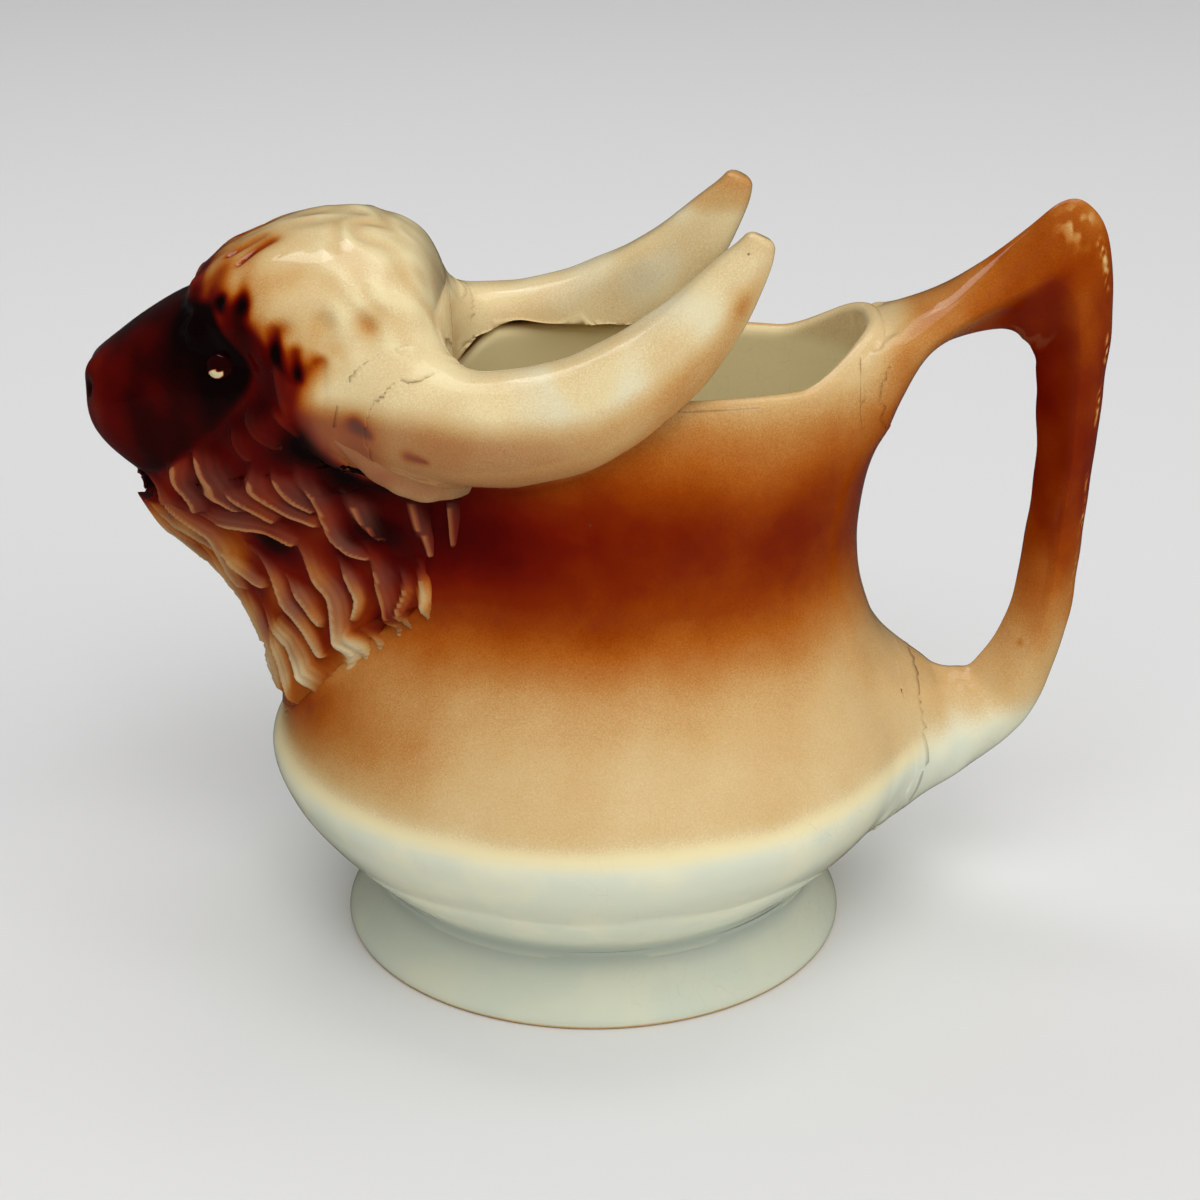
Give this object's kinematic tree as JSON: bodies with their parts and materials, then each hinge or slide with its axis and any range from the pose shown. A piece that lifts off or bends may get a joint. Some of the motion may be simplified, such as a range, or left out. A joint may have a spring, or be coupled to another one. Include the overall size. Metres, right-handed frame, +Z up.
{
  "type": "animal head pitcher",
  "caption": "Glazed earthenware pitcher shaped as a bison head: it pours at the animal's mouth, horns flank the open top and a loop handle stands behind.",
  "frame": {"origin": "under the middle of the whole length, on the plane the foot ring stands on", "axes": "+X from the animal's nose to the handle, +Y to the animal's right side, +Z up"},
  "size_m": [0.2, 0.132, 0.1524],
  "materials": {
    "body": "gloss",
    "foot_ring": "gloss",
    "bison_head": "gloss",
    "mane": "gloss",
    "forelock": "gloss",
    "horn_left": "gloss",
    "horn_right": "gloss",
    "ear_left": "gloss",
    "ear_right": "gloss",
    "eye_left": "gloss",
    "eye_right": "gloss",
    "handle": "gloss"
  },
  "bodies": {
    "root": {"body": "body", "foot_ring": "foot_ring", "bison_head": "bison_head", "mane": "mane", "forelock": "forelock", "horn_left": "horn_left", "horn_right": "horn_right", "ear_left": "ear_left", "ear_right": "ear_right", "eye_left": "eye_left", "eye_right": "eye_right", "handle": "handle"}
  },
  "joints": []
}
